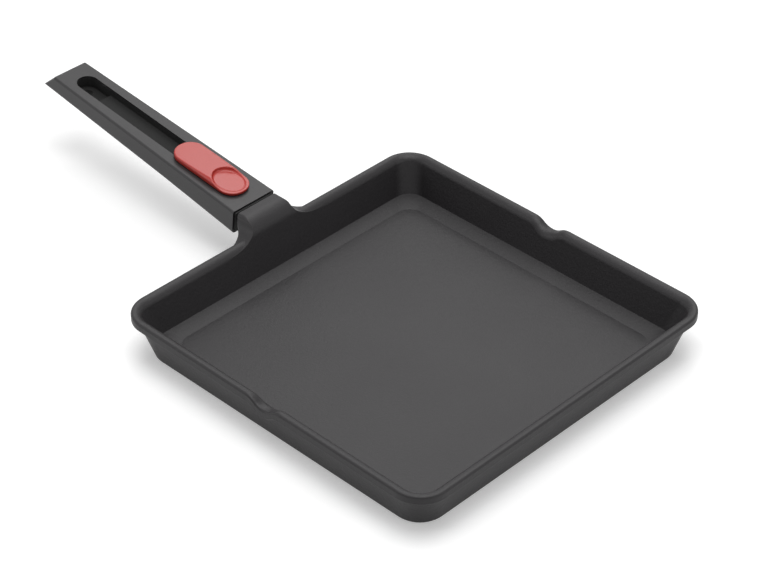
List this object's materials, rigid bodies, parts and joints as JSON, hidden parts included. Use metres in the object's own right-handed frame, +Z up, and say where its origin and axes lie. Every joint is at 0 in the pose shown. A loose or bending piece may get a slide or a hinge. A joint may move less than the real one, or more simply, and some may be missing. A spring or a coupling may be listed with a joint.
{
  "type": "square griddle pan with lift-off handle",
  "caption": "Square cast griddle pan with a smooth non-stick floor, pouring spouts and a long handle that lifts off when its thumb slider is pulled back.",
  "frame": {"origin": "middle of the pan's flat base, on the hob", "axes": "handle along -X and rising to its free end, spouts at +Y and -Y, +Z up"},
  "size_m": [0.506, 0.28, 0.0685],
  "materials": {
    "pan_coating": "satin non-stick coating on cast aluminium",
    "handle_plastic": "fine moulded texture",
    "slider_plastic": "satin red",
    "inner_plastic": "plain moulded",
    "steel": "plain",
    "spring_steel": "plain",
    "black_steel": "black"
  },
  "bodies": {
    "pan": {"pan_body": "pan_coating", "neck_tongue": "steel", "tongue_screws": "steel"},
    "handle": {"handle_shell": "handle_plastic", "handle_cover": "handle_plastic", "cover_screws": "steel", "mouth_plate": "black_steel", "mouth_screws": "steel", "latch_chassis": "steel", "chassis_screws": "steel", "latch_blade": "spring_steel", "latch_rivets": "steel", "return_spring_left": "spring_steel", "return_spring_right": "spring_steel", "spring_rod_left": "steel", "spring_rod_right": "steel"},
    "slider": {"slider_button": "slider_plastic", "slider_carriage": "inner_plastic", "slider_screws": "steel", "lift_pin": "steel"}
  },
  "joints": [
    {"name": "handle_pull_off", "type": "slide", "parent": "pan", "child": "handle", "axis": [-0.9936, 0, 0.1127], "range_m": [0, 0.045], "deforming": ["latch_blade"]},
    {"name": "slider_release", "type": "slide", "parent": "handle", "child": "slider", "axis": [-0.9936, 0, 0.1127], "range_m": [0, 0.012], "stiffness_N_per_m": 250, "springref_m": -0.006, "deforming": ["latch_blade", "return_spring_left", "return_spring_right"]}
  ]
}
